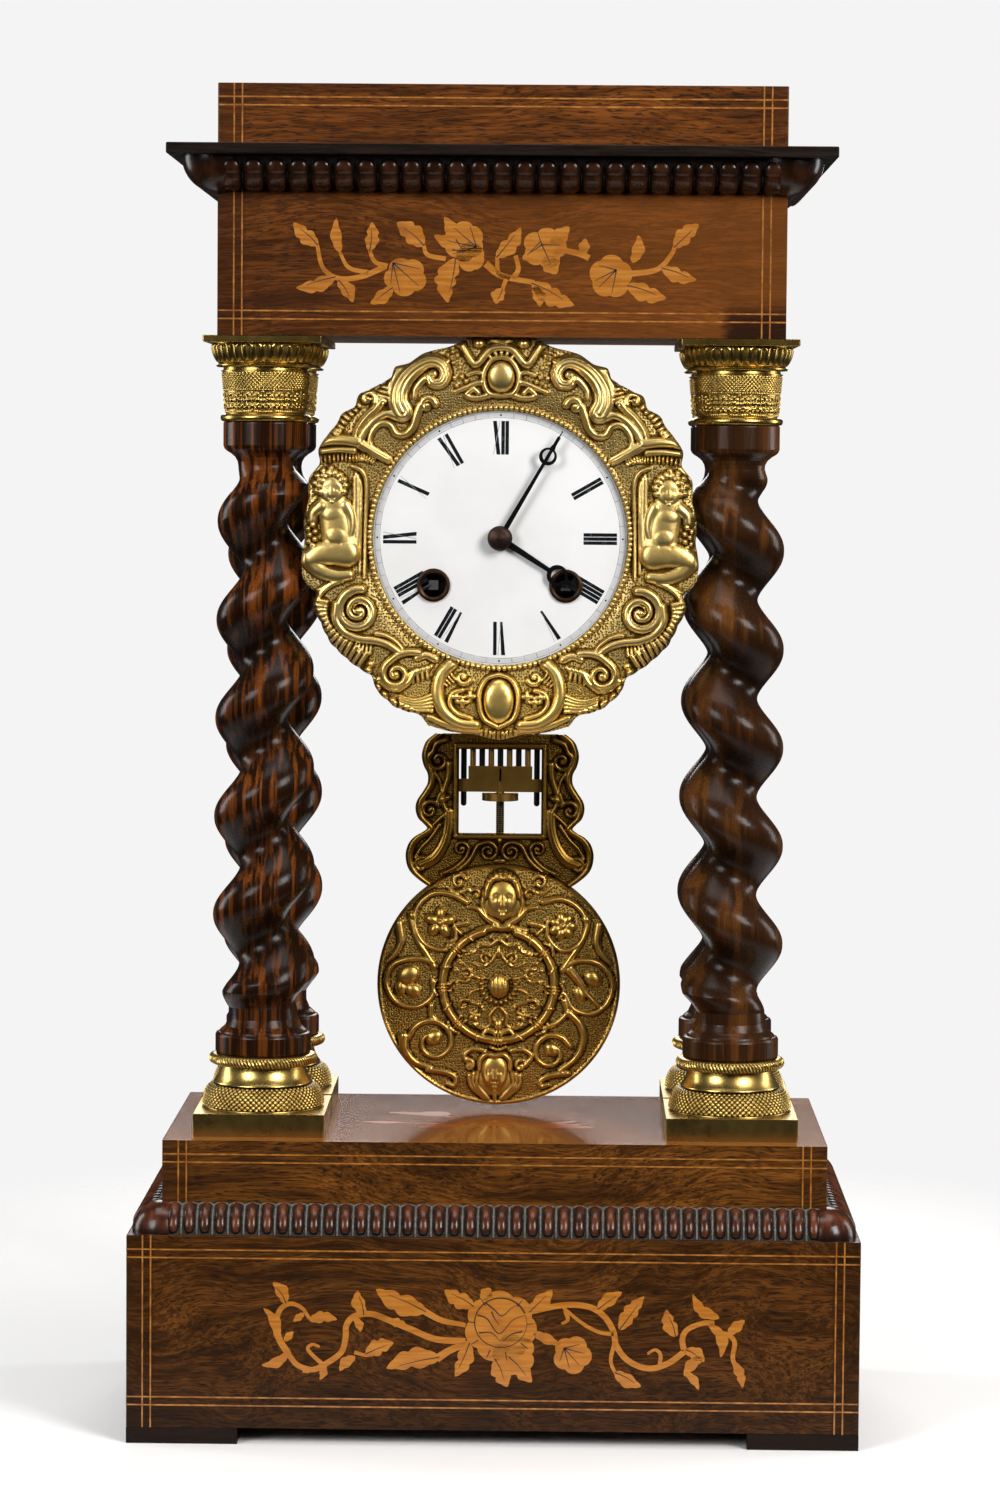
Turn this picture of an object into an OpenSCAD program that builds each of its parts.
// Portico mantel clock: a rosewood base and entablature joined by four twisted columns,
// with a brass drum movement hung under the entablature and a gridiron pendulum below it.
// Millimetres. Origin on the table under the middle of the base, +Z up, the dial faces -Y.

/* [Base] */
// Height of the four feet
foot_h = 6; // [4:0.5:12]
// Side of each square foot
foot_w = 41; // [30:1:55]
// Height of the base box
base_h = 71.5; // [55:0.5:95]
// Width of the plinth block that stands on the base
plinth_w = 246; // [238:1:290]
// Depth of the plinth block
plinth_d = 118; // [112:1:150]
// Height of the plinth block above the base box
plinth_h = 33.5; // [24:0.5:50]
// Radius of the quarter-round moulding laid in the step between base and plinth
base_mould_r = 12; // [8:0.5:18]

/* [Entablature] */
// Width of the entablature and attic boxes
ent_w = 209; // [190:1:230]
// Depth of the entablature and attic boxes
ent_d = 96; // [90:1:110]
// Height of the entablature box
ent_h = 65; // [45:0.5:85]
// Radius of the quarter-round moulding under the cornice board
cornice_mould_r = 13.5; // [9:0.5:16]
// How far the cornice board stands out at the front and sides
board_over = 17.5; // [17:0.5:24]
// Thickness of the cornice board
board_t = 4; // [3:0.25:8]
// Height of the attic box on top
attic_h = 23; // [14:0.5:40]

/* [Columns] */
// Distance of each column axis from the middle, sideways
col_x = 88; // [87:0.5:94]
// Distance of each column axis from the middle, front to back
col_y = 26; // [25.5:0.25:28]
// Side of the square brass plate under a column
plate_w = 49; // [47:0.5:51]
// Thickness of the square brass plate under a column
plate_t = 8.5; // [5:0.25:12]
// Height of the turned brass base
col_base_h = 20.3; // [16:0.1:26]
// Largest radius of the turned brass base
col_base_r = 23; // [21:0.25:25]
// Length of a wooden shaft between brass base and capital
shaft_len = 236.7; // [230:0.1:260]
// Radius of the plain collar at the foot of a shaft
collar_r_low = 18; // [16:0.25:19]
// Radius of the plain collar at the head of a shaft
collar_r_top = 15.8; // [14:0.1:16.5]
// Radius of the twisted section at the foot of a shaft
twist_r_low = 14.9; // [13:0.1:15.5]
// Radius of the twisted section at the head of a shaft
twist_r_top = 13.5; // [12:0.1:14.5]
// How far the twisted section stands off the column axis
twist_off = 4.4; // [2:0.1:5]
// Rise of the twist for one turn
twist_pitch = 36.9; // [28:0.1:50]
// Radius of the tenon at each end of a shaft
tenon_r = 6; // [4:0.25:8]
// Height of the turned brass capital
cap_h = 29; // [24:0.1:36]
// Radius of the fluted bowl at the top of the capital
cap_r = 20.5; // [18:0.1:21.5]
// Side of the thin square plate on a capital
cap_plate_w = 43.8; // [42:0.2:48]
// Thickness of the thin square plate on a capital
cap_plate_t = 2.5; // [1.5:0.1:4]

/* [Dial and drum] */
// Dial centre below the underside of the entablature
dial_drop = 74; // [74:0.5:84]
// Radius of the visible dial inside the bezel
sight_r = 47; // [46:0.25:47.5]
// Outer radius of the embossed bezel
bezel_r = 73.2; // [66:0.1:73.6]
// Distance of the bezel's back face in front of the middle plane
bezel_back = 38.6; // [38:0.1:42]
// Depth of the bezel from its back face to its highest relief
bezel_deep = 7.6; // [7:0.1:10]
// Outer radius of the drum
drum_r = 51.5; // [50.5:0.1:53]
// Wall of the drum
drum_t = 1.5; // [0.8:0.1:2]
// Length of the drum behind the bezel
drum_len = 44.6; // [43:0.1:50]
// Thickness of the enamel dial at its edge
dial_t = 1.4; // [1:0.1:2]
// Rise of the dial from its edge to its middle
dial_rise = 1; // [0.4:0.1:1.6]
// Thickness of the brass plate behind the dial
dial_plate_t = 1.2; // [0.8:0.1:2]
// Radius of each winding hole in the dial
wind_hole_r = 5.6; // [5:0.1:6.5]
// Side of a winding square
wind_sq = 3.5; // [3:0.1:4]

/* [Hands] */
// Length of the minute hand from the middle to its tip
minute_len = 43; // [38:0.5:45]
// Length of the hour hand from the middle to its tip
hour_len = 33; // [27:0.5:36]
// Radius of the ring on the minute hand
minute_ring_r = 3.3; // [2.5:0.1:4]
// Radius of the ring on the hour hand
hour_ring_r = 3.9; // [3:0.1:4.5]
// Thickness of both hands
hand_t = 0.9; // [0.6:0.1:1]
// Minutes past the hour that the hands show
show_minute = 5; // [0:1:59]
// Hour that the hands show
show_hour = 4; // [0:1:11]

/* [Movement] */
// Radius of the two movement plates
mov_r = 48; // [47.6:0.1:48.6]
// Thickness of each movement plate
mov_t = 2; // [1.5:0.1:2.2]
// Clear space between the movement plates
mov_gap = 29; // [28.5:0.1:30]
// Distance from the dial plate to the front movement plate
motion_gap = 9.6; // [9.2:0.1:10.2]
// Winding arbors: distance from the middle, sideways
wind_x = 24.5; // [24.2:0.1:24.8]
// Winding arbors: distance below the dial centre
wind_z = 17.5; // [17.2:0.1:17.8]
// Height of the escape wheel arbor above the dial centre
escape_z = 28; // [27.6:0.1:28.4]
// Height of the anchor arbor above the escape wheel arbor
anchor_up = 10; // [9.8:0.1:10.4]
// Outer radius of the bell at its mouth
bell_r = 34; // [30:0.5:34]
// Depth of the bell
bell_deep = 20; // [16:0.5:24]

/* [Pendulum] */
// Distance of the pendulum rods behind the middle plane
pend_y = 19.8; // [19:0.1:21]
// Radius of the pendulum bob
bob_r = 47; // [40:0.5:47.4]
// Clear height of the bob over the plinth
bob_gap = 2.6; // [2.4:0.1:6]
// Thickness of the bob in its middle
bob_t = 9; // [7:0.25:11]
// Thickness of the lyre plate above the bob
lyre_t = 3; // [2:0.25:4]
// Width of the window in the lyre plate
window_w = 31.8; // [31:0.1:34]
// Height of the window in the lyre plate
window_h = 32.5; // [31:0.1:35]
// Radius of a gridiron rod
rod_r = 1.12; // [0.8:0.02:1.3]
// Spacing of the gridiron rods
rod_pitch = 3.53; // [3.2:0.01:3.7]
// Radius of the rating nut
nut_r = 7; // [5:0.1:9]
// Thickness of the rating nut
nut_t = 2.8; // [1.5:0.1:3.2]
// Radius of the threaded rating rod
screw_r = 1.5; // [1.2:0.05:1.8]

/* [Fits] */
// Radial clearance of a turning pivot in its hole
run_gap = 0.05; // [0.02:0.01:0.08]
// Radial clearance of a tenon, screw or pin in its hole
seat_gap = 0.2; // [0.1:0.05:0.3]

/* [Hidden] */
$fn = 48;

rosewood = "#5b2c17";
ebonised = "#2a1a12";
brass = "#c9a14a";
gilt = "#d8b25a";
antique = "#9a7b3c";
steel = "#3a3d44";

// levels, from the table up
base_z = foot_h;
base_top = base_z + base_h;
plinth_top = base_top + plinth_h;
shaft_z = plinth_top + plate_t + col_base_h;
cap_z = shaft_z + shaft_len;
ent_z = cap_z + cap_h + cap_plate_t;
ent_top = ent_z + ent_h;
attic_z = ent_top + board_t;
base_w = plinth_w + 2 * base_mould_r;
base_d = plinth_d + 2 * base_mould_r;
dial_z = ent_z - dial_drop;

// depths, from the bezel back
bez_y = -bezel_back;
bez_front = bez_y - bezel_deep;
dplate_y = bez_y - dial_plate_t;
dial_y = dplate_y - dial_t;
dial_apex = dial_y - dial_rise;
fp_y0 = bez_y + motion_gap;
fp_y = fp_y0 + mov_t;
bp_y = fp_y + mov_gap;
bp_y1 = bp_y + mov_t;
dial_r = sight_r + 2;
drum_in = drum_r - drum_t;
column_spots = [[-col_x, -col_y], [col_x, -col_y], [-col_x, col_y], [col_x, col_y]];

// wheel train: modules, tooth counts and where the arbors stand, seen from the front
m_great = 0.5;
m_inter = 0.42;
m_centre = 0.36;
m_third = 0.34;
m_pin = 0.3;
m_stop = 0.27;
m_warn = 0.25;
m_cannon = 0.5;
m_hour = 0.48;
n_great = 72;
n_inter = 72;
n_centre = 84;
n_third = 78;
n_escape = 30;
n_pin = 60;
n_stop = 56;
n_warn = 48;
n_lantern = 12;
n_ten = 10;
n_seven = 7;
n_eight = 8;
n_six = 6;
n_ratchet = 24;
function mesh_dist(m, a, b) = m * (a + b) / 2;
function dir(a) = [cos(a), sin(a)];
function side_of(p, q) = atan2(q[1] - p[1], q[0] - p[0]);
// the point at distance ra from a and rb from b, to the left of the line from a to b
function meet(a, ra, b, rb) =
  let (d = norm(b - a), x = (ra * ra - rb * rb + d * d) / (2 * d), t = side_of(a, b))
  a + x * dir(t) + sqrt(ra * ra - x * x) * dir(t + 90);
// turn of gear b so that its gap faces a tooth of gear a, whose first tooth stands at angle pa
function mesh_turn(na, pa, t, nb) = t + 180 + (180 - na * (pa - t)) / nb;

p_centre = [0, 0];
p_going = [wind_x, -wind_z];
p_strike = [-wind_x, -wind_z];
p_inter = meet(p_going, mesh_dist(m_great, n_great, n_lantern), p_centre,
               mesh_dist(m_inter, n_inter, n_ten));
p_escape = [0, escape_z];
p_third = meet(p_escape, mesh_dist(m_third, n_third, n_seven), p_centre,
               mesh_dist(m_centre, n_centre, n_seven));
p_anchor = [0, escape_z + anchor_up];
p_motion = [0, mesh_dist(m_cannon, 12, 36)];
p_second = p_strike + mesh_dist(m_great, n_great, n_lantern) * dir(100);
p_pin = p_second + mesh_dist(m_inter, n_inter, n_ten) * dir(70);
p_stop = p_pin + mesh_dist(m_pin, n_pin, n_eight) * dir(0);
p_warn = p_stop + mesh_dist(m_stop, n_stop, n_seven) * dir(90);
p_fly = p_warn + mesh_dist(m_warn, n_warn, n_six) * dir(100);
p_hammer = mov_r * [-0.854, 0.354];
p_bell_post = mov_r * [0.792, -0.458];
pillar_spots = mov_r * [[0.688, 0.583], [-0.688, 0.604], [0, -0.896], [0.906, 0.125]];
dial_foot_spots = [for (a = [30, 150, 250, 290]) 0.898 * dial_r * dir(a)];
pivot_r = 0.7;
arbor_r = 1;
stout_r = 1.5;
wind_r = 3;
ratchet_r = 8;
going_nick = 15;
strike_nick = 105;
click_reach = 12;

cannon_r = 1.95;
pipe_in = cannon_r + run_gap;
pipe_r = 3.1;
centre_hole_r = pipe_r + 1;
stud_r = 0.9;
click_stud_r = 1;
anchor_arbor_r = 1.2;
split = 0.03;

// hands, from the dial forward
hour_y1 = dial_apex - 0.9;
hour_y0 = hour_y1 - hand_t;
minute_y1 = hour_y0 - 0.8;
minute_y0 = minute_y1 - hand_t;
wind_front = dial_y;

// pendulum levels
pivot_z = dial_z + p_anchor[1];
bob_z = plinth_top + bob_gap + bob_r;
lyre_low = bob_z + bob_r + 4.5;
window_low = lyre_low + 7.1;
window_top = window_low + window_h;
lyre_top = window_top + 6;
block_h = 5;
low_block_z = window_top - 16.6;
high_block_z = low_block_z + block_h;
rods_z = high_block_z + block_h;
top_bar_z = dial_z + 4;
top_bar_top = top_bar_z + 5;
hook_top = pivot_z - 16;
lyre_y = pend_y - 1.8 - lyre_t;
bob_y = pend_y - 1.8;
nut_z = low_block_z - 0.5 - nut_t;
grid_half = 4 * rod_pitch;

// a shape drawn as seen from the front, extruded from depth y0 back to depth y1
module face(p, y0, y1) {
  translate([p[0], y1, dial_z + p[1]]) rotate([90, 0, 0]) linear_extrude(y1 - y0) children();
}
// a round bar along Y
module bar(p, y0, y1, r) {
  translate([p[0], y1, dial_z + p[1]]) rotate([90, 0, 0]) cylinder(r = r, h = y1 - y0);
}
// a turned piece about an axis along Y; the outline gives [radius, depth]
module turned(p, outline) {
  translate([p[0], 0, dial_z + p[1]]) rotate([90, 0, 0]) rotate_extrude($fn = 96)
    polygon([for (q = outline) [q[0], -q[1]]]);
}
// wheel and pinion teeth with straight flanks
function teeth(n, m, ph, add, root, tip) = let (rt = m * n / 2 + add * m, rr = m * n / 2 - 1.25 * m)
  [for (i = [0:n - 1]) for (k = [[rr, -root], [rt, -tip], [rt, tip], [rr, root]])
    k[0] * dir(ph + 360 * i / n + k[1] * m / k[0] * 180 / PI)];
module wheel_2d(n, m, ph) { polygon(teeth(n, m, ph, 0.95, 0.8, 0.24)); }
module pinion_2d(n, m, ph) { polygon(teeth(n, m, ph, 0.75, 0.55, 0.28)); }
// a hole with flat sides that clears a round arbor
module flat_hole(r) { circle(r = (r + 0.04) / cos(15), $fn = 12); }
// a crossed-out wheel seated on its arbor
module wheel(p, y0, y1, n, m, r, ph = 0) {
  rim = m * n / 2 - 1.25 * m - 1.2;
  hub = r + 1.6;
  face(p, y0, y1) difference() {
    wheel_2d(n, m, ph);
    flat_hole(r);
    if (rim > hub + 1.5) for (a = [0:90:270]) rotate(a + 45) spoke_gap(hub, rim);
  }
}
// the opening between two spokes, with flat sides
module spoke_gap(hub, rim) {
  w = 35;
  polygon(concat([for (a = [-w:10:w]) rim * dir(a)], [for (a = [w - 10, 0, 10 - w]) hub * dir(a)]));
}
// a solid pinion, cut in one with its arbor
module pinion(p, y0, y1, n, m, ph) {
  face(p, y0, y1) pinion_2d(n, m, ph);
}
// an arbor broken by its pinion between depths a and b, with a thinner pivot in each plate
module arbor(p, r, a, b) {
  bar(p, fp_y + 0.1, a - split, r);
  bar(p, b + split, bp_y - 0.1, r);
  bar(p, fp_y0, fp_y + 0.2, pivot_r);
  bar(p, bp_y - 0.2, bp_y1, pivot_r);
}
function t_y(t) = fp_y + t;

// the same shape on the right and, mirrored, on the left
module pair() {
  children();
  mirror([1, 0, 0]) children();
}
// quarter-round moulding of radius r along the front and both sides of a block w wide, whose
// front stands at -front and whose side runs end at back
module quarter(r) {
  intersection() {
    circle(r = r);
    square(r);
  }
}
module moulding(w, front, back, r) {
  translate([-w / 2, -front, 0]) rotate([90, 0, 90]) linear_extrude(w) mirror([1, 0]) quarter(r);
  pair() {
    translate([w / 2, back, 0]) rotate([90, 0, 0]) linear_extrude(back + front) quarter(r);
    translate([w / 2, -front, 0]) rotate([0, 0, -90]) rotate_extrude(angle = 90) quarter(r);
  }
}

module base_box() {
  color(rosewood) translate([-base_w / 2, -base_d / 2, base_z]) cube([base_w, base_d, base_h]);
}
module base_feet() {
  color(rosewood) for (x = [-1, 1]) for (y = [-1, 1])
    translate([x * (base_w - foot_w) / 2, y * (base_d - foot_w) / 2, foot_h / 2])
      cube([foot_w, foot_w, foot_h], center = true);
}
module base_moulding() {
  color(ebonised) translate([0, 0, base_top])
    moulding(plinth_w, plinth_d / 2, base_d / 2, base_mould_r);
}
module plinth_box() {
  color(rosewood) translate([-plinth_w / 2, -plinth_d / 2, base_top])
    cube([plinth_w, plinth_d, plinth_h]);
}

// columns
module on_columns() {
  for (q = column_spots) translate([q[0], q[1], 0]) children();
}
module column_plates() {
  color(brass) on_columns() translate([0, 0, plinth_top]) difference() {
    translate([-plate_w / 2, -plate_w / 2, 0]) cube([plate_w, plate_w, plate_t]);
    translate([0, 0, -1]) cylinder(r = tenon_r + seat_gap, h = plate_t + 2);
  }
}
// turned brass base: knurled torus, bell, hollow and rope ring
module column_bases() {
  h = col_base_h;
  b = col_base_r;
  r = tenon_r + seat_gap;
  color(brass) on_columns() translate([0, 0, plinth_top + plate_t]) rotate_extrude()
    polygon([[r, 0], [b - 0.4, 0], [b, 0.06 * h], [b, 0.15 * h], [b - 0.5, 0.25 * h],
      [b - 1.7, 0.35 * h], [b - 3.3, 0.43 * h], [b - 5, 0.44 * h], [b - 5, 0.48 * h],
      [b - 6, 0.56 * h], [b - 6.6, 0.66 * h], [b - 6.8, 0.78 * h], [b - 4.6, 0.81 * h],
      [b - 3.1, 0.85 * h], [b - 2.9, 0.91 * h], [b - 3.3, 0.97 * h], [b - 4.2, h], [r, h]]);
}
// turned brass capital: bead, tapering drum, hollow, fillet and fluted bowl
module column_capitals() {
  h = cap_h;
  b = cap_r;
  r = tenon_r + seat_gap;
  color(brass) on_columns() translate([0, 0, cap_z]) rotate_extrude()
    polygon([[r, 0], [b - 4.5, 0], [b - 3.7, 0.03 * h], [b - 3.7, 0.08 * h], [b - 4.5, 0.1 * h],
      [b - 5.6, 0.11 * h], [b - 5.1, 0.35 * h], [b - 4.3, 0.59 * h], [b - 3.7, 0.64 * h],
      [b - 4.5, 0.65 * h], [b - 4.5, 0.7 * h], [b - 2.6, 0.72 * h], [b - 2.6, 0.76 * h],
      [b - 2.2, 0.77 * h], [b - 1.5, 0.86 * h], [b - 0.6, 0.95 * h], [b, h], [r, h]]);
}
module capital_plates() {
  color(brass) on_columns() translate([0, 0, cap_z + cap_h]) difference() {
    translate([-cap_plate_w / 2, -cap_plate_w / 2, 0]) cube([cap_plate_w, cap_plate_w, cap_plate_t]);
    translate([0, 0, -1]) cylinder(r = tenon_r + seat_gap, h = cap_plate_t + 2);
  }
}
// twisted shaft: rings of [height, radius, offset], tenon, collar, neck, twist, neck, collar, tenon
sides = 16;
turn_rings = 14;
twist_a = 23;
twist_b = 24;
function mix(a, b, f) = a + (b - a) * f;
function shaft_rings() =
  let (a = twist_a, b = shaft_len - twist_b, n = ceil((b - a) / twist_pitch * turn_rings),
    lo = collar_r_low, hi = collar_r_top, s = shaft_len,
    nl = twist_r_low - 2.1, nh = twist_r_top - 3.3)
  concat([[-plate_t - col_base_h, tenon_r, 0], [0, tenon_r, 0], [0, lo, 0], [6.2, lo, 0],
    [7.2, lo - 0.6, 0], [7.6, lo - 2, 0], [10, nl + 1.4, 0], [13, nl + 0.3, 0], [17, nl, 0.07 * twist_off],
    [20, nl + 0.5, 0.4 * twist_off]],
    [for (i = [0:n]) let (f = i / n) [mix(a, b, f), mix(twist_r_low, twist_r_top, f), twist_off]],
    [[b + 2.3, nh + 2, 0.45 * twist_off], [b + 5, nh + 0.6, 0.14 * twist_off], [b + 7.8, nh, 0],
    [b + 10.8, nh + 1, 0], [b + 13.2, hi - 1.8, 0], [b + 13.8, hi - 0.5, 0], [b + 14.6, hi, 0],
    [s, hi, 0], [s, tenon_r, 0], [s + cap_h + cap_plate_t, tenon_r, 0]]);
module shaft(hand, ridge_z, ridge_a) {
  rings = shaft_rings();
  n = len(rings);
  pts = [for (g = rings) let (a = ridge_a + hand * 360 * (g[0] + shaft_z - ridge_z) / twist_pitch)
    for (k = [0:sides - 1]) let (c = g[2] * dir(a) + g[1] * dir(360 * k / sides)) [c[0], c[1], g[0]]];
  walls = [for (i = [0:n - 2]) for (k = [0:sides - 1])
    let (p = i * sides + k, q = i * sides + (k + 1) % sides)
    for (t = [[p, p + sides, q], [q, p + sides, q + sides]]) t];
  low = [[for (k = [0:sides - 1]) k]];
  top = [[for (k = [0:sides - 1]) n * sides - 1 - k]];
  color(rosewood) translate([0, 0, shaft_z]) polyhedron(pts, concat(walls, low, top));
}
module column_shaft_front_left() { translate([-col_x, -col_y, 0]) shaft(1, 302.1, 180); }
module column_shaft_front_right() { translate([col_x, -col_y, 0]) shaft(-1, 292.7, 0); }
module column_shaft_back_left() { translate([-col_x, col_y, 0]) shaft(1, 270.6, 0); }
module column_shaft_back_right() { translate([col_x, col_y, 0]) shaft(-1, 270.6, 180); }

// entablature
bracket_w = 26;
bracket_y0 = bez_y + 7;
bracket_y1 = bez_y + 37;
wing_t = 6;
wing_len = 18;
wing_x = bracket_w / 2 - 6;
wing_y = bracket_y1 + wing_len / 2;
wing_screw_r = 2;
wing_screw_in = 16;
module entablature_box() {
  color(rosewood) difference() {
    translate([-ent_w / 2, -ent_d / 2, ent_z]) cube([ent_w, ent_d, ent_h]);
    for (x = [-wing_x, wing_x]) translate([x, wing_y, ent_z - 1])
      cylinder(r = wing_screw_r + seat_gap, h = wing_screw_in + 2);
  }
}
module cornice_moulding() {
  color(ebonised) translate([0, 0, ent_top]) mirror([0, 0, 1])
    moulding(ent_w, ent_d / 2, ent_d / 2, cornice_mould_r);
}
module cornice_board() {
  color(ebonised) translate([-ent_w / 2 - board_over, -ent_d / 2 - board_over, ent_top])
    cube([ent_w + 2 * board_over, ent_d + board_over, board_t]);
}
module attic_box() {
  color(rosewood) translate([-ent_w / 2, -ent_d / 2, attic_z]) cube([ent_w, ent_d, attic_h]);
}

// drum, bezel and dial
module drum() {
  y1 = bez_y + drum_len;
  color(brass) turned(p_centre, [[drum_in, bez_y], [drum_r, bez_y], [drum_r, y1], [drum_in, y1]]);
}
module drum_bracket() {
  low = sqrt(drum_r * drum_r - bracket_w * bracket_w / 4) - 3;
  color(brass) difference() {
    union() {
      translate([-bracket_w / 2, bracket_y0, dial_z + low])
        cube([bracket_w, bracket_y1 - bracket_y0, dial_drop - low]);
      translate([-bracket_w / 2, bracket_y0, ent_z - wing_t])
        cube([bracket_w, bracket_y1 - bracket_y0 + wing_len, wing_t]);
    }
    bar(p_centre, bracket_y0 - 1, bracket_y1 + 1, drum_r + 0.05);
    for (x = [-wing_x, wing_x]) translate([x, wing_y, ent_z - wing_t - 1])
      cylinder(r = wing_screw_r + seat_gap, h = wing_t + 2);
  }
}
module bracket_screws() {
  color(steel) for (x = [-wing_x, wing_x]) translate([x, wing_y, ent_z - wing_t]) {
    difference() {
      translate([0, 0, -3]) cylinder(r = 4.2, h = 3);
      translate([-5, -0.5, -4]) cube([10, 1, 2]);
    }
    cylinder(r = wing_screw_r, h = wing_t + wing_screw_in);
  }
}
// embossed ring: bead, hollow, raised border and thin edge
module bezel() {
  s = sight_r;
  b = bezel_r;
  f = bez_front;
  lip = dial_y - 0.1;
  seat = drum_r + seat_gap;
  color(gilt) turned(p_centre, [[s, lip], [s, f + 1.6], [s + 0.6, f + 0.4], [s + 2, f], [s + 3.4, f + 0.8],
    [s + 4, f + 2.2], [s + 9, f + 1.2], [mix(s, b, 0.56), f + 1], [mix(s, b, 0.78), f + 2.2],
    [b - 1, f + 4.6], [b, f + 5.8], [b, bez_y], [seat, bez_y], [seat, lip]]);
}
module wind_holes(r, y0, y1) {
  for (p = [p_going, p_strike]) bar(p, y0, y1, r);
}
module dial() {
  e = dial_y;
  color("#f1efe8") difference() {
    turned(p_centre, [[0, e + dial_t], [dial_r, e + dial_t], [dial_r, e],
      [0.8 * dial_r, e - 0.3 * dial_rise],
      [0.55 * dial_r, e - 0.65 * dial_rise], [0.25 * dial_r, e - 0.93 * dial_rise], [0, dial_apex]]);
    bar(p_centre, dial_apex - 1, e + dial_t + 1, centre_hole_r);
    wind_holes(wind_hole_r, dial_apex - 1, e + dial_t + 1);
  }
}
module dial_plate() {
  color(brass) difference() {
    bar(p_centre, dplate_y, bez_y, drum_r);
    bar(p_centre, dplate_y - 1, bez_y + 1, centre_hole_r);
    wind_holes(wind_hole_r, dplate_y - 1, bez_y + 1);
  }
}
module dial_feet() {
  color(brass) for (p = dial_foot_spots) bar(p, bez_y, fp_y0, 2);
}
// a brass bush in each winding hole, its flange on the enamel
module winding_grommets() {
  w = norm(p_going) / dial_r;
  near = mix(0.93, 0.65, (w - 0.25) / 0.3);
  far = mix(0.65, 0.3, (w - 0.55) / 0.25);
  flange = dial_y - (w < 0.55 ? near : far) * dial_rise;
  top = flange - 0.35;
  r = wind_hole_r;
  color(antique) for (p = [p_going, p_strike])
    turned(p, [[r - 1.1, bez_y], [r - 0.05, bez_y], [r - 0.05, top], [r + 0.6, top], [r + 0.5, top - 0.5],
      [r - 0.3, top - 0.7], [r - 1.1, top - 0.2]]);
}

// movement frame
function click_spot(p, a) = p + click_reach * dir(a + 40);
module front_plate() {
  color(brass) {
    difference() {
      bar(p_centre, fp_y0, fp_y, mov_r);
      bar(p_centre, fp_y0 - 1, fp_y + 1, stout_r + run_gap);
      wind_holes(wind_r + run_gap, fp_y0 - 1, fp_y + 1);
      for (p = [p_inter, p_third, p_escape, p_anchor, p_second, p_pin, p_stop, p_warn, p_fly, p_hammer])
        bar(p, fp_y0 - 1, fp_y + 1, pivot_r + run_gap);
    }
    bar(p_motion, fp_y0 - 6.4, fp_y0, stud_r);
    bar(click_spot(p_going, going_nick), fp_y0 - 2.6, fp_y0, click_stud_r);
    bar(click_spot(p_strike, strike_nick), fp_y0 - 2.6, fp_y0, click_stud_r);
  }
}
module back_plate() {
  color(brass) difference() {
    bar(p_centre, bp_y, bp_y1, mov_r);
    wind_holes(stout_r + run_gap, bp_y - 1, bp_y1 + 1);
    for (p = [p_centre, p_inter, p_third, p_escape, p_pin, p_stop, p_warn, p_fly])
      bar(p, bp_y - 1, bp_y1 + 1, pivot_r + run_gap);
    bar(p_second, bp_y - 1, bp_y1 + 1, arbor_r + run_gap);
    for (p = [p_anchor, p_hammer]) bar(p, bp_y - 1, bp_y1 + 1, anchor_arbor_r + run_gap);
  }
}
module plate_pillars() {
  color(brass) for (p = pillar_spots) {
    bar(p, fp_y, bp_y, 3);
    bar(p, fp_y0 - 1.4, fp_y0, 2.6);
    bar(p, bp_y1, bp_y1 + 1.4, 2.6);
  }
}

// hands and motion work
module hand_2d(size, tip, ring, hub, bore, w0, w1) {
  c = size - tip - ring;
  difference() {
    union() {
      circle(r = hub);
      polygon([[-w0 / 2, 0], [w0 / 2, 0], [w1 / 2, c], [-w1 / 2, c]]);
      translate([0, c]) circle(r = ring);
      polygon([[-w1, c + 0.9 * ring], [w1, c + 0.9 * ring], [0, size]]);
    }
    circle(r = bore);
    translate([0, c + 0.1 * ring]) circle(r = 0.66 * ring);
  }
}
module hour_hand() {
  color(steel) face(p_centre, hour_y0, hour_y1) rotate(-30 * show_hour - show_minute / 2)
    hand_2d(hour_len, 3.9, hour_ring_r, pipe_r + 1.5, pipe_r + 0.03, 2.6, 1.5);
}
module minute_hand() {
  color(steel) face(p_centre, minute_y0, minute_y1) rotate(-6 * show_minute)
    hand_2d(minute_len, 4.7, minute_ring_r, cannon_r + 1.6, cannon_r + 0.03, 2, 1.1);
}
// domed collet that holds the minute hand on its square
module hand_nut() {
  y = minute_y0;
  r = stout_r + 0.03;
  color("#4a2f1c") turned(p_centre, [[r, y], [4.5, y], [4.5, y - 0.6], [3.9, y - 1.4], [2.6, y - 2],
    [1.2, y - 2.4], [0.5, y - 2.9], [0, y - 3], [0, y - 1.6], [r, y - 1.6]]);
}
module hour_wheel() {
  color(brass) {
    wheel(p_centre, fp_y0 - 5.4, fp_y0 - 4.2, 40, m_hour, pipe_r);
    turned(p_centre, [[pipe_in, hour_y0], [pipe_r, hour_y0], [pipe_r, fp_y0 - 3.8],
      [pipe_in, fp_y0 - 3.8]]);
  }
}
cannon_turn = 0;
motion_turn = mesh_turn(12, cannon_turn, 90, 36);
hour_mesh_turn = mesh_turn(40, 0, 90, 10);
module cannon_pinion() {
  color(brass) {
    face(p_centre, fp_y0 - 2.4, fp_y0 - 0.4) difference() {
      pinion_2d(12, m_cannon, cannon_turn);
      flat_hole(cannon_r);
    }
    turned(p_centre, [[stout_r + 0.03, minute_y0], [cannon_r, minute_y0], [cannon_r, fp_y0 - 0.4],
      [stout_r + 0.03, fp_y0 - 0.4]]);
  }
}
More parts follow.
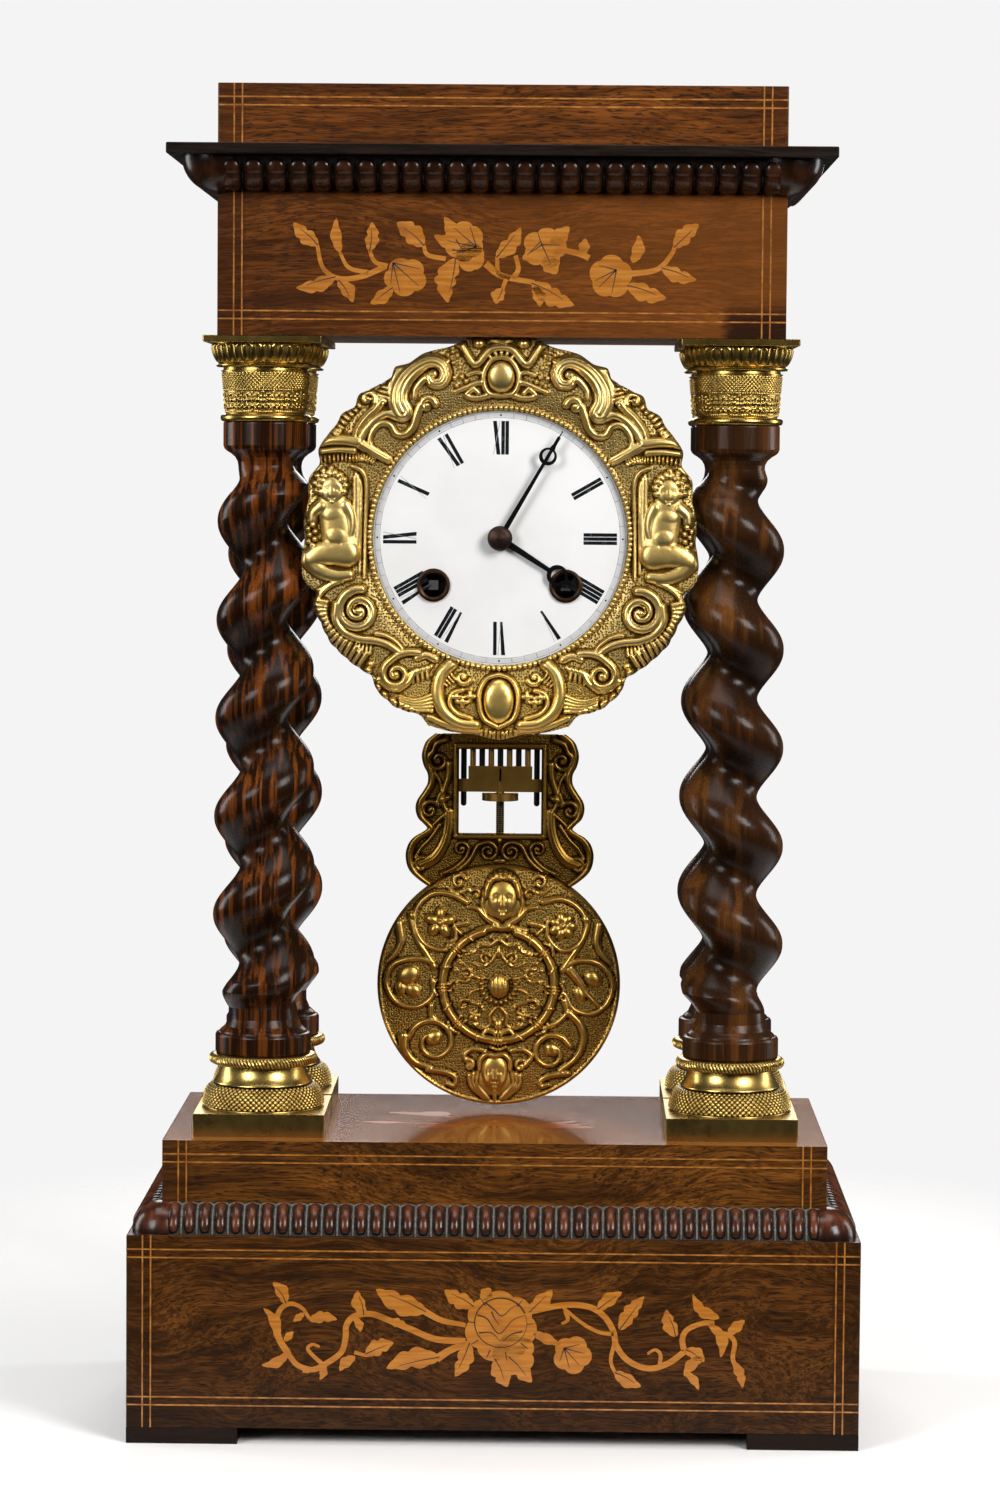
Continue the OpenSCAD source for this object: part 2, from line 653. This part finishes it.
module minute_wheel() {
  color(brass) {
    wheel(p_motion, fp_y0 - 2.2, fp_y0 - 1, 36, m_cannon, stud_r, motion_turn);
    face(p_motion, fp_y0 - 6, fp_y0 - 2.2) difference() {
      pinion_2d(10, m_hour, hour_mesh_turn);
      flat_hole(stud_r);
    }
  }
}

// going train
module centre_wheel() {
  a = t_y(22.6);
  b = t_y(24.6);
  color(brass) {
    bar(p_centre, minute_y0 - 1.4, a - split, stout_r);
    bar(p_centre, b + split, bp_y - 0.1, stout_r);
    bar(p_centre, bp_y - 0.2, bp_y1, pivot_r);
    pinion(p_centre, a, b, n_ten, m_inter, mesh_turn(n_inter, 0, side_of(p_inter, p_centre), n_ten));
    wheel(p_centre, t_y(26.2), t_y(27.2), n_centre, m_centre, stout_r);
  }
}
module third_wheel() {
  a = t_y(25.8);
  b = t_y(27.6);
  color(brass) {
    arbor(p_third, arbor_r, a, b);
    pinion(p_third, a, b, n_seven, m_centre, mesh_turn(n_centre, 0, side_of(p_centre, p_third), n_seven));
    wheel(p_third, t_y(8), t_y(9), n_third, m_third, arbor_r);
  }
}
escape_r = 7.6;
module escape_wheel() {
  a = t_y(7.6);
  b = t_y(9.4);
  step = 360 / n_escape;
  color(brass) {
    arbor(p_escape, arbor_r, a, b);
    pinion(p_escape, a, b, n_seven, m_third, mesh_turn(n_third, 0, side_of(p_third, p_escape), n_seven));
    face(p_escape, t_y(20), t_y(21)) difference() {
      polygon([for (i = [0:n_escape - 1]) for (k = [[0, escape_r - 1.5], [0.62, escape_r], [0.7, escape_r]])
        k[1] * dir((i + k[0]) * step)]);
      flat_hole(arbor_r);
      for (q = [0:90:270]) rotate(q + 45) spoke_gap(arbor_r + 1.2, escape_r - 2.6);
    }
  }
}
// recoil anchor with its crutch, whose fork holds the pendulum
crutch_len = 24;
crutch_y = bp_y1 + 5.2;
hook_r = 1.6;
module anchor() {
  h = anchor_arbor_r;
  color(steel) {
    bar(p_anchor, fp_y0, fp_y + 0.2, pivot_r);
    bar(p_anchor, fp_y + 0.1, crutch_y + 1.5, h);
    face(p_anchor, t_y(19.8), t_y(21.2)) difference() {
      union() {
        polygon([[-10.6, -7.8], [-8.2, -0.5], [0, 3], [8.2, -0.5], [10.6, -7.8], [9, -7.6], [6.6, -2.4],
          [0, -1], [-6.6, -2.4], [-9, -7.6]]);
        circle(r = h + 0.6, $fn = 12);
      }
      flat_hole(h);
    }
    face(p_anchor, crutch_y, crutch_y + 1.5) difference() {
      union() {
        circle(r = h + 0.5, $fn = 12);
        translate([-1.2, -crutch_len]) square([2.4, crutch_len - 1]);
        translate([-hook_r - 1.5, -crutch_len]) square([2 * hook_r + 3, 3]);
      }
      flat_hole(h);
    }
    for (x = [-hook_r - 1.5, hook_r + 0.3])
      translate([x, crutch_y + 1.5, pivot_z - crutch_len]) cube([1.2, pend_y + 3 - crutch_y - 1.5, 3]);
  }
}
module intermediate_wheel() {
  a = t_y(2.6);
  b = t_y(5.4);
  color(brass) {
    arbor(p_inter, arbor_r, a, b);
    pinion(p_inter, a, b, n_lantern, m_great, mesh_turn(n_great, 0, side_of(p_going, p_inter), n_lantern));
    wheel(p_inter, t_y(23), t_y(24.2), n_inter, m_inter, arbor_r);
  }
}
// spring barrel: great wheel, drum and cover, turning on the winding arbor
barrel_r = 16.5;
module barrel(p) {
  r = wind_r + run_gap;
  color(brass) {
    face(p, t_y(3), t_y(5)) difference() {
      wheel_2d(n_great, m_great, 0);
      flat_hole(wind_r + 0.02);
    }
    turned(p, [[r, t_y(5 + split)], [barrel_r, t_y(5 + split)], [barrel_r, t_y(21)], [r, t_y(21)],
      [r, t_y(20)], [barrel_r - 1.1, t_y(20)], [barrel_r - 1.1, t_y(6.2)], [r, t_y(6.2)]]);
  }
}
module going_barrel() { barrel(p_going); }
module strike_barrel() { barrel(p_strike); }
// winding arbor with its square and ratchet; the ratchet's steep faces look anticlockwise
module wind_arbor(p) {
  step = 360 / n_ratchet;
  color(steel) {
    bar(p, fp_y0 - 0.3, bp_y - 0.1, wind_r);
    bar(p, bp_y - 0.2, bp_y1, stout_r);
    translate([p[0] - wind_sq / 2, wind_front, dial_z + p[1] - wind_sq / 2])
      cube([wind_sq, fp_y0 - 0.2 - wind_front, wind_sq]);
    face(p, fp_y0 - 2.2, fp_y0 - 0.8) difference() {
      polygon([for (i = [0:n_ratchet - 1]) for (r = [ratchet_r, ratchet_r - 1.4])
        r * dir(i * step + (r < ratchet_r ? 0.4 : 0))]);
      square(wind_sq + 0.1, center = true);
    }
  }
}
module going_arbor() { wind_arbor(p_going); }
module strike_arbor() { wind_arbor(p_strike); }
// click: a pawl that drops behind a ratchet tooth at angle a
module click(p, a) {
  k = ratchet_r / 8;
  under = [[7.1, 1.6], [7.85, 9], [8.6, 14], [9.5, 24]];
  over = [[11.8, 22], [9.8, 10], [8.3, 1.6]];
  eye = click_reach * dir(a + 40);
  color(steel) face(p, fp_y0 - 2.2, fp_y0 - 0.8) difference() {
    polygon(concat([for (q = under) q[0] * k * dir(a + q[1])],
      [for (q = [180:-30:0]) eye + 2.1 * dir(a + 40 + q)],
      [for (q = over) q[0] * k * dir(a + q[1])]));
    translate(eye) circle(r = click_stud_r + run_gap);
  }
}
module going_click() { click(p_going, going_nick); }
module strike_click() { click(p_strike, strike_nick); }

// strike train
module second_wheel() {
  a = t_y(2.6);
  b = t_y(5.4);
  color(brass) {
    bar(p_second, fp_y0, fp_y + 0.2, pivot_r);
    bar(p_second, fp_y + 0.1, a - split, arbor_r);
    bar(p_second, b + split, bp_y1 + 2.6, arbor_r);
    pinion(p_second, a, b, n_lantern, m_great,
      mesh_turn(n_great, 0, side_of(p_strike, p_second), n_lantern));
    wheel(p_second, t_y(23), t_y(24.2), n_inter, m_inter, arbor_r);
  }
}
// count wheel: notches spaced one more stroke apart each hour
count_r = 11.5;
module count_wheel() {
  color(brass) face(p_second, bp_y1 + 0.6, bp_y1 + 1.8) difference() {
    circle(r = count_r);
    flat_hole(arbor_r);
    for (h = [1:12]) rotate(4 * (h * (h + 1) / 2 + h)) translate([count_r - 2, -0.6]) square([3, 1.2]);
  }
}
module pin_wheel() {
  a = t_y(22.6);
  b = t_y(24.6);
  color(brass) {
    arbor(p_pin, arbor_r, a, b);
    pinion(p_pin, a, b, n_ten, m_inter, mesh_turn(n_inter, 0, side_of(p_second, p_pin), n_ten));
    wheel(p_pin, t_y(17), t_y(18), n_pin, m_pin, arbor_r);
    for (q = [0:36:324]) bar(p_pin + 7 * dir(q), t_y(18 + split), t_y(20.5), 0.45);
  }
}
module stop_wheel() {
  a = t_y(16.6);
  b = t_y(18.4);
  color(brass) {
    arbor(p_stop, 0.9, a, b);
    pinion(p_stop, a, b, n_eight, m_pin, mesh_turn(n_pin, 0, side_of(p_pin, p_stop), n_eight));
    wheel(p_stop, t_y(12), t_y(13), n_stop, m_stop, 0.9);
  }
}
module warning_wheel() {
  a = t_y(11.6);
  b = t_y(13.4);
  color(brass) {
    arbor(p_warn, 0.8, a, b);
    pinion(p_warn, a, b, n_seven, m_stop, mesh_turn(n_stop, 0, side_of(p_stop, p_warn), n_seven));
    wheel(p_warn, t_y(5.5), t_y(6.5), n_warn, m_warn, 0.8);
  }
}
fly_r = 5;
module fly() {
  a = t_y(5.1);
  b = t_y(6.9);
  r = pivot_r;
  color(brass) {
    arbor(p_fly, r, a, b);
    pinion(p_fly, a, b, n_six, m_warn, mesh_turn(n_warn, 0, side_of(p_warn, p_fly), n_six));
    face(p_fly, t_y(8), t_y(18)) for (s = [0, 180]) rotate(s) translate([r + split, -0.25])
      square([fly_r - r - split, 0.5]);
  }
}
// hammer: tail among the pins, arm outside the back plate, head beside the bell's rim
hammer_arm = [4.5, -25];
bell_y0 = pend_y + 8.2;
bell_y1 = bell_y0 + bell_deep;
head_y1 = bell_y0 + 4;
bell_wall = 1.8;
bell_nut_r = 3.2;
// the tail stops short of the pins' circle
tail_y0 = t_y(18.3);
tail_t = 1.7;
module hammer() {
  h = anchor_arbor_r;
  q = p_pin - p_hammer;
  t = side_of(p_hammer, p_pin);
  y = bp_y1 + 2.4;
  color(steel) {
    bar(p_hammer, fp_y0, fp_y + 0.2, pivot_r);
    bar(p_hammer, fp_y + 0.1, y + 2, h);
    face(p_hammer, tail_y0, tail_y0 + tail_t) difference() {
      union() {
        circle(r = h + 0.8, $fn = 12);
        rotate(t) translate([0, -0.7]) square([norm(q) - 8.5, 1.4]);
      }
      flat_hole(h);
    }
    face(p_hammer, y, y + 2) difference() {
      union() {
        circle(r = h + 0.9, $fn = 12);
        rotate(atan2(hammer_arm[1], hammer_arm[0])) translate([0, -1.3])
          square([norm(hammer_arm) + 2, 2.6]);
      }
      flat_hole(h);
    }
    bar(p_hammer + hammer_arm, y + 1, head_y1 - 4, 1);
    bar(p_hammer + hammer_arm, head_y1 - 5, head_y1, 2.5);
  }
}
module bell() {
  d = bell_deep;
  r = bell_r;
  y = bell_y0;
  w = bell_wall;
  color("#b39a5c") turned(p_centre, [[r - w, y], [r, y], [0.985 * r, y + 0.1 * d], [0.93 * r, y + 0.3 * d],
    [0.83 * r, y + 0.5 * d], [0.67 * r, y + 0.7 * d], [0.45 * r, y + 0.86 * d], [0.2 * r, y + 0.97 * d],
    [stout_r + seat_gap, y + d], [stout_r + seat_gap, y + d - w], [bell_nut_r + 0.4, y + d - w],
    [0.19 * r, y + 0.97 * d - w],
    [0.43 * r, y + 0.86 * d - w], [0.64 * r, y + 0.7 * d - w], [0.79 * r, y + 0.5 * d - w],
    [0.89 * r, y + 0.3 * d - w], [0.94 * r, y + 0.1 * d]]);
}
// bell stand: foot and post beside the bell, arm behind it, screw and nut through its crown
module bell_stand() {
  y = bell_y1 + 2.5;
  t = side_of(p_bell_post, p_centre);
  color(steel) {
    bar(p_bell_post, bp_y1, bp_y1 + 3, 5);
    bar(p_bell_post, bp_y1 + 2.9, y + 0.1, 2.2);
    face(p_bell_post, y, y + 2.5) {
      rotate(t) translate([0, -2.5]) square([norm(p_bell_post), 5]);
      circle(r = 4);
      translate(-p_bell_post) circle(r = 4);
    }
    bar(p_centre, bell_y1, y + 0.1, bell_nut_r);
    bar(p_centre, bell_y1 - 4, bell_y1 + 0.1, stout_r);
    bar(p_centre, bell_y1 - bell_wall - 3.6, bell_y1 - bell_wall - 0.05, bell_nut_r);
  }
}

// pendulum
module suspension_cock() {
  color(brass) translate([-8, bp_y1, pivot_z + 2]) cube([16, pend_y + 4 - bp_y1, 7]);
}
strip_t = 0.3;
module suspension_spring() {
  color(steel) {
    translate([-strip_t / 2, pend_y - 2.5, hook_top + 9]) cube([strip_t, 5, pivot_z + 1.7 - hook_top - 9]);
    translate([-2.2, pend_y - 3, hook_top]) cube([4.4, 6, 9]);
  }
}
module upright(x, z0, z1, r) {
  translate([x, pend_y, z0]) cylinder(r = r, h = z1 - z0);
}
module gridiron_steel() {
  color(steel) {
    for (k = [-2, 0, 2]) upright(k * rod_pitch, rods_z, top_bar_z, rod_r);
    for (k = [-4, 4]) {
      upright(k * rod_pitch, low_block_z - 4.5, top_bar_z, rod_r);
      translate([k * rod_pitch, pend_y, low_block_z - 4.5]) sphere(r = rod_r);
    }
  }
}
module block(half, z0, z1) {
  translate([-half, pend_y - 1.5, z0]) cube([2 * half, 3.5, z1 - z0]);
}
module gridiron_brass() {
  color(antique) {
    for (k = [-3, -1, 1, 3]) upright(k * rod_pitch, rods_z - 0.1, top_bar_z + 0.1, rod_r);
    block(grid_half + rod_r + 0.6, top_bar_z, top_bar_top);
    upright(0, top_bar_top - 0.1, hook_top, hook_r);
    difference() {
      union() {
        block(3 * rod_pitch + rod_r + 0.6, high_block_z - 0.1, rods_z);
        block(grid_half + rod_r + 0.9, low_block_z, high_block_z);
      }
      upright(0, low_block_z - 1, rods_z - 1, screw_r + run_gap);
      for (k = [-4, 4]) upright(k * rod_pitch, low_block_z - 1, high_block_z + 1, rod_r + 0.03);
    }
  }
}
module rating_nut() {
  color(antique) {
    upright(0, nut_z, nut_z + nut_t, nut_r);
    upright(0, window_low - 7, low_block_z + 4, screw_r);
  }
}
// cast bob: a domed disc, a lyre plate with a window above it and a socket for the rating rod
module bob() {
  r = bob_r;
  y = bob_y;
  t = bob_t;
  p = [0, bob_z - dial_z];
  k = (lyre_top - lyre_low) / 45.6;
  half = [[25, -15], [31, -11], [35, -7], [36.3, -2], [35.4, 2.4], [33, 5.4], [29.4, 7.6], [28, 9],
    [29.4, 10.8], [31.6, 13], [32.6, 16.4], [32, 19.6], [29.8, 23], [28, 26.4], [28, 30], [29.6, 33.4],
    [30.3, 37], [29.6, 40.4], [28.2, 43], [25, 45.6]];
  n = len(half);
  color(antique) difference() {
    union() {
      turned(p, [[0, y - 0.5 * t], [0.45 * r, y - 0.46 * t], [0.8 * r, y - 0.36 * t], [r - 1, y - 0.2 * t],
        [r, y - 0.1 * t], [r, y + 0.2 * t], [0.7 * r, y + 0.38 * t], [0, y + 0.4 * t]]);
      face([0, lyre_low - dial_z], lyre_y, lyre_y + lyre_t)
        polygon([for (i = [0:2 * n - 1]) let (q = half[i < n ? i : 2 * n - 1 - i])
          [(i < n ? 1 : -1) * q[0], q[1] * k]]);
      translate([-6, lyre_y + 0.5, lyre_low - 1])
        cube([12, pend_y + 3 - lyre_y - 0.5, window_low - lyre_low + 1]);
    }
    translate([-window_w / 2, lyre_y - 1, window_low]) cube([window_w, lyre_t + 2, window_h]);
    upright(0, window_low - 7.6, window_low + 1, screw_r + run_gap);
  }
}

base_box();
base_feet();
base_moulding();
plinth_box();
column_plates();
column_bases();
column_shaft_front_left();
column_shaft_front_right();
column_shaft_back_left();
column_shaft_back_right();
column_capitals();
capital_plates();
entablature_box();
cornice_moulding();
cornice_board();
attic_box();
drum();
drum_bracket();
bracket_screws();
bezel();
dial();
dial_plate();
dial_feet();
winding_grommets();
front_plate();
back_plate();
plate_pillars();
hour_hand();
hour_wheel();
minute_hand();
hand_nut();
cannon_pinion();
centre_wheel();
minute_wheel();
third_wheel();
escape_wheel();
anchor();
intermediate_wheel();
going_barrel();
going_arbor();
going_click();
strike_barrel();
strike_arbor();
strike_click();
second_wheel();
count_wheel();
pin_wheel();
stop_wheel();
warning_wheel();
fly();
hammer();
bell();
bell_stand();
suspension_cock();
suspension_spring();
gridiron_steel();
gridiron_brass();
rating_nut();
bob();
